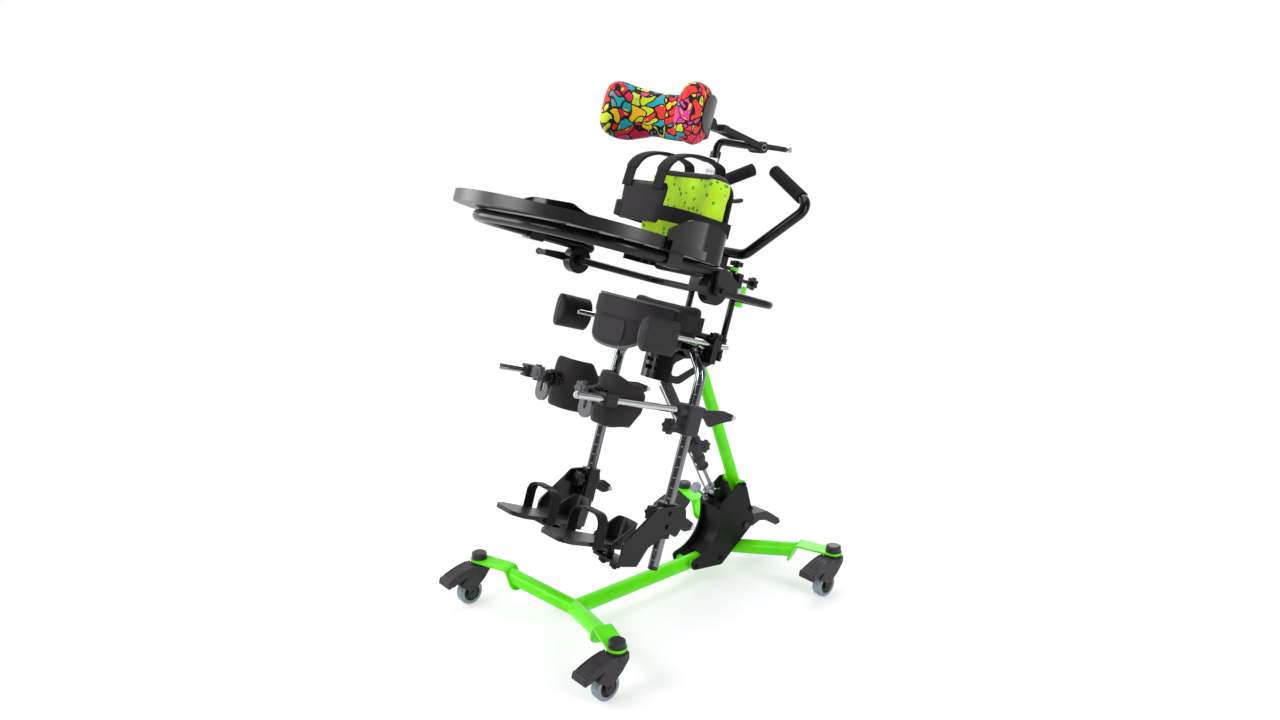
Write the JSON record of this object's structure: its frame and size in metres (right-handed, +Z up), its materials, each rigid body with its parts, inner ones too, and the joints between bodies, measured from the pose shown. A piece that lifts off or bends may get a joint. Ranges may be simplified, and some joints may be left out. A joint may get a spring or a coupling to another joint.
{
  "type": "standing frame",
  "caption": "Wheeled paediatric standing frame: castor base, leaning mast with gas strut, reclining body support with foot, knee, hip, chest and head supports, round tray and push handle.",
  "frame": {"origin": "on the floor, under the middle of the bounding box", "axes": "+X to the standing child's left, +Y to the rear, away from the tray, +Z up"},
  "size_m": [0.61, 0.9477, 1.2741],
  "materials": {
    "lime_paint": "gloss",
    "black_paint": "satin",
    "dark_plastic": "matte",
    "gloss_black": "gloss",
    "chrome": "polished",
    "grey_tyre": "matte",
    "grip_rubber": "matte",
    "black_webbing": "matte",
    "charcoal_fabric": "matte",
    "knee_neoprene": "matte",
    "guide_vinyl": "satin",
    "lime_fabric": "matte",
    "print_fabric": "matte"
  },
  "bodies": {
    "base": {"base_frame": "lime_paint", "mast_tube": "lime_paint", "mast_bracket": "black_paint", "castor_caps": "dark_plastic"},
    "castor_front_left": {"castor_fork_front_left": "dark_plastic"},
    "wheel_front_left": {"castor_wheel_front_left": "grey_tyre"},
    "brake_front_left": {"castor_pedal_front_left": "dark_plastic"},
    "castor_front_right": {"castor_fork_front_right": "dark_plastic"},
    "wheel_front_right": {"castor_wheel_front_right": "grey_tyre"},
    "brake_front_right": {"castor_pedal_front_right": "dark_plastic"},
    "castor_rear_left": {"castor_fork_rear_left": "dark_plastic"},
    "wheel_rear_left": {"castor_wheel_rear_left": "grey_tyre"},
    "brake_rear_left": {"castor_pedal_rear_left": "dark_plastic"},
    "castor_rear_right": {"castor_fork_rear_right": "dark_plastic"},
    "wheel_rear_right": {"castor_wheel_rear_right": "grey_tyre"},
    "brake_rear_right": {"castor_pedal_rear_right": "dark_plastic"},
    "foot_pedal": {"foot_pedal": "black_paint"},
    "strut_rod": {"gas_rod": "chrome"},
    "strut_cylinder": {"gas_cylinder": "black_paint"},
    "plunger": {"lock_plunger": "chrome"},
    "support": {"back_frame": "black_paint", "hip_pad": "charcoal_fabric", "pelvic_belt": "charcoal_fabric"},
    "hip_guide_left": {"hip_guide_left": "guide_vinyl"},
    "leg_left": {"leg_tube_left": "chrome"},
    "knee_carrier_left": {"knee_clamp_left": "dark_plastic", "knee_bar_left": "chrome"},
    "knee_lever_left": {"knee_lever_left": "black_paint"},
    "knee_joint_left": {"knee_joint_left": "dark_plastic"},
    "knee_pad_left": {"knee_pad_left": "knee_neoprene"},
    "foot_carrier_left": {"foot_bracket_left": "black_paint"},
    "foot_lever_left": {"foot_lever_left": "black_paint"},
    "footplate_left": {"footplate_left": "dark_plastic", "foot_strap_left": "black_webbing"},
    "hip_guide_right": {"hip_guide_right": "guide_vinyl"},
    "leg_right": {"leg_tube_right": "chrome"},
    "knee_carrier_right": {"knee_clamp_right": "dark_plastic", "knee_bar_right": "chrome"},
    "knee_lever_right": {"knee_lever_right": "black_paint"},
    "knee_joint_right": {"knee_joint_right": "dark_plastic"},
    "knee_pad_right": {"knee_pad_right": "knee_neoprene"},
    "foot_carrier_right": {"foot_bracket_right": "black_paint"},
    "foot_lever_right": {"foot_lever_right": "black_paint"},
    "footplate_right": {"footplate_right": "dark_plastic", "foot_strap_right": "black_webbing"},
    "upper": {"tray_mount": "black_paint", "push_handle": "black_paint", "hand_grips": "grip_rubber", "back_shell": "gloss_black", "back_pad": "lime_fabric", "chest_harness": "black_webbing"},
    "release_lever": {"release_lever": "dark_plastic"},
    "tray_arm": {"tray_arm": "black_paint"},
    "tray": {"tray_top": "dark_plastic", "elbow_stops": "gloss_black"},
    "tray_levers": {"tray_levers": "black_paint"},
    "head_post": {"head_post": "black_paint"},
    "head_link": {"head_link": "black_paint"},
    "headrest": {"headrest_shell": "dark_plastic", "headrest_pad": "print_fabric"}
  },
  "joints": [
    {"name": "swivel_front_left", "type": "hinge", "parent": "base", "child": "castor_front_left", "pos_m": [0.2745, -0.3271, 0.1], "axis": [0, 0, 1], "continuous": true},
    {"name": "roll_front_left", "type": "hinge", "parent": "castor_front_left", "child": "wheel_front_left", "pos_m": [0.2745, -0.3601, 0.03175], "axis": [1, 0, 0], "continuous": true},
    {"name": "brake_press_front_left", "type": "hinge", "parent": "castor_front_left", "child": "brake_front_left", "pos_m": [0.2745, -0.3471, 0.094], "axis": [1, 0, 0], "range_deg": [0, 12]},
    {"name": "swivel_front_right", "type": "hinge", "parent": "base", "child": "castor_front_right", "pos_m": [-0.2745, -0.3271, 0.1], "axis": [0, 0, 1], "continuous": true},
    {"name": "roll_front_right", "type": "hinge", "parent": "castor_front_right", "child": "wheel_front_right", "pos_m": [-0.2745, -0.3601, 0.03175], "axis": [1, 0, 0], "continuous": true},
    {"name": "brake_press_front_right", "type": "hinge", "parent": "castor_front_right", "child": "brake_front_right", "pos_m": [-0.2745, -0.3471, 0.094], "axis": [1, 0, 0], "range_deg": [0, 12]},
    {"name": "swivel_rear_left", "type": "hinge", "parent": "base", "child": "castor_rear_left", "pos_m": [0.281, 0.3909, 0.1], "axis": [0, 0, 1], "continuous": true},
    {"name": "roll_rear_left", "type": "hinge", "parent": "castor_rear_left", "child": "wheel_rear_left", "pos_m": [0.281, 0.3579, 0.03175], "axis": [1, 0, 0], "continuous": true},
    {"name": "brake_press_rear_left", "type": "hinge", "parent": "castor_rear_left", "child": "brake_rear_left", "pos_m": [0.281, 0.3709, 0.094], "axis": [1, 0, 0], "range_deg": [0, 12]},
    {"name": "swivel_rear_right", "type": "hinge", "parent": "base", "child": "castor_rear_right", "pos_m": [-0.281, 0.3909, 0.1], "axis": [0, 0, 1], "continuous": true},
    {"name": "roll_rear_right", "type": "hinge", "parent": "castor_rear_right", "child": "wheel_rear_right", "pos_m": [-0.281, 0.3579, 0.03175], "axis": [1, 0, 0], "continuous": true},
    {"name": "brake_press_rear_right", "type": "hinge", "parent": "castor_rear_right", "child": "brake_rear_right", "pos_m": [-0.281, 0.3709, 0.094], "axis": [1, 0, 0], "range_deg": [0, 12]},
    {"name": "foot_press", "type": "hinge", "parent": "base", "child": "foot_pedal", "pos_m": [0, 0.3189, 0.122], "axis": [1, 0, 0], "range_deg": [-10, 0], "stiffness_Nm_per_rad": 10, "springref_deg": 8.59},
    {"name": "strut_swing", "type": "hinge", "parent": "base", "child": "strut_rod", "pos_m": [0, 0.2309, 0.231], "axis": [-1, 0, 0], "range_deg": [-3.5, 13]},
    {"name": "strut_extend", "type": "slide", "parent": "strut_rod", "child": "strut_cylinder", "axis": [0, -0.4643, 0.8857], "range_m": [-0.032, 0.122]},
    {"name": "plunger_pull", "type": "slide", "parent": "base", "child": "plunger", "axis": [0, -0.7071, 0.7071], "range_m": [0, 0.012], "stiffness_N_per_m": 300, "springref_m": -0.004},
    {"name": "recline", "type": "hinge", "parent": "base", "child": "support", "pos_m": [0, 0.1629, 0.63], "axis": [-1, 0, 0], "range_deg": [-18, 72]},
    {"name": "hip_depth_left", "type": "slide", "parent": "support", "child": "hip_guide_left", "axis": [0, -0.9511, 0.309], "range_m": [-0.03, 0.03]},
    {"name": "leg_spread_left", "type": "hinge", "parent": "support", "child": "leg_left", "pos_m": [0.108, 0.05767, 0.66209], "axis": [0, -0.9511, 0.309], "range_deg": [0, 30]},
    {"name": "knee_height_left", "type": "slide", "parent": "leg_left", "child": "knee_carrier_left", "axis": [0, 0.309, 0.9511], "range_m": [-0.03, 0.03]},
    {"name": "knee_release_left", "type": "hinge", "parent": "knee_carrier_left", "child": "knee_lever_left", "pos_m": [0.156, 0.03464, 0.52973], "axis": [1, 0, 0], "range_deg": [0, 20]},
    {"name": "knee_depth_left", "type": "slide", "parent": "knee_carrier_left", "child": "knee_joint_left", "axis": [0, -0.9511, 0.309], "range_m": [-0.03, 0.04]},
    {"name": "knee_tilt_left", "type": "hinge", "parent": "knee_joint_left", "child": "knee_pad_left", "pos_m": [0.082, -0.22531, 0.61314], "axis": [1, 0, 0], "range_deg": [-12, 12]},
    {"name": "foot_height_left", "type": "slide", "parent": "leg_left", "child": "foot_carrier_left", "axis": [0, 0.309, 0.9511], "range_m": [-0.03, 0.08]},
    {"name": "foot_release_left", "type": "hinge", "parent": "foot_carrier_left", "child": "foot_lever_left", "pos_m": [0.156, -0.04725, 0.2777], "axis": [1, 0, 0], "range_deg": [0, 20]},
    {"name": "foot_angle_left", "type": "hinge", "parent": "foot_carrier_left", "child": "footplate_left", "pos_m": [0.088, -0.20947, 0.23472], "axis": [1, 0, 0], "range_deg": [-8, 10]},
    {"name": "hip_depth_right", "type": "slide", "parent": "support", "child": "hip_guide_right", "axis": [0, -0.9511, 0.309], "range_m": [-0.03, 0.03]},
    {"name": "leg_spread_right", "type": "hinge", "parent": "support", "child": "leg_right", "pos_m": [-0.108, 0.05767, 0.66209], "axis": [0, 0.9511, -0.309], "range_deg": [0, 30]},
    {"name": "knee_height_right", "type": "slide", "parent": "leg_right", "child": "knee_carrier_right", "axis": [0, 0.309, 0.9511], "range_m": [-0.03, 0.03]},
    {"name": "knee_release_right", "type": "hinge", "parent": "knee_carrier_right", "child": "knee_lever_right", "pos_m": [-0.156, 0.03464, 0.52973], "axis": [1, 0, 0], "range_deg": [0, 20]},
    {"name": "knee_depth_right", "type": "slide", "parent": "knee_carrier_right", "child": "knee_joint_right", "axis": [0, -0.9511, 0.309], "range_m": [-0.03, 0.04]},
    {"name": "knee_tilt_right", "type": "hinge", "parent": "knee_joint_right", "child": "knee_pad_right", "pos_m": [-0.082, -0.22531, 0.61314], "axis": [1, 0, 0], "range_deg": [-12, 12]},
    {"name": "foot_height_right", "type": "slide", "parent": "leg_right", "child": "foot_carrier_right", "axis": [0, 0.309, 0.9511], "range_m": [-0.03, 0.08]},
    {"name": "foot_release_right", "type": "hinge", "parent": "foot_carrier_right", "child": "foot_lever_right", "pos_m": [-0.156, -0.04725, 0.2777], "axis": [1, 0, 0], "range_deg": [0, 20]},
    {"name": "foot_angle_right", "type": "hinge", "parent": "foot_carrier_right", "child": "footplate_right", "pos_m": [-0.088, -0.20947, 0.23472], "axis": [1, 0, 0], "range_deg": [-8, 10]},
    {"name": "back_height", "type": "slide", "parent": "support", "child": "upper", "axis": [0, 0.309, 0.9511], "range_m": [0, 0.04]},
    {"name": "release_squeeze", "type": "hinge", "parent": "upper", "child": "release_lever", "pos_m": [-0.102, 0.32056, 0.98254], "axis": [1, 0, 0], "range_deg": [0, 18]},
    {"name": "tray_angle", "type": "hinge", "parent": "upper", "child": "tray_arm", "pos_m": [0, -0.03198, 0.84894], "axis": [1, 0, 0], "range_deg": [-15, 15]},
    {"name": "tray_depth", "type": "slide", "parent": "tray_arm", "child": "tray", "axis": [0, -0.9511, 0.309], "range_m": [-0.03, 0.03]},
    {"name": "tray_lock", "type": "hinge", "parent": "tray_arm", "child": "tray_levers", "pos_m": [0, -0.03198, 0.84894], "axis": [1, 0, 0], "range_deg": [-15, 15]},
    {"name": "head_height", "type": "slide", "parent": "upper", "child": "head_post", "axis": [0, 0.309, 0.9511], "range_m": [0, 0.05]},
    {"name": "head_reach", "type": "hinge", "parent": "head_post", "child": "head_link", "pos_m": [0, 0.3557, 1.12305], "axis": [1, 0, 0], "range_deg": [-12, 3]},
    {"name": "head_tilt", "type": "hinge", "parent": "head_link", "child": "headrest", "pos_m": [0, 0.184, 1.18357], "axis": [1, 0, 0], "range_deg": [-15, 10]}
  ],
  "couplings": [
    {"joint": "strut_swing", "follows": "recline", "ratio": 0.175},
    {"joint": "strut_extend", "follows": "recline", "m_per_rad": 0.0951}
  ]
}
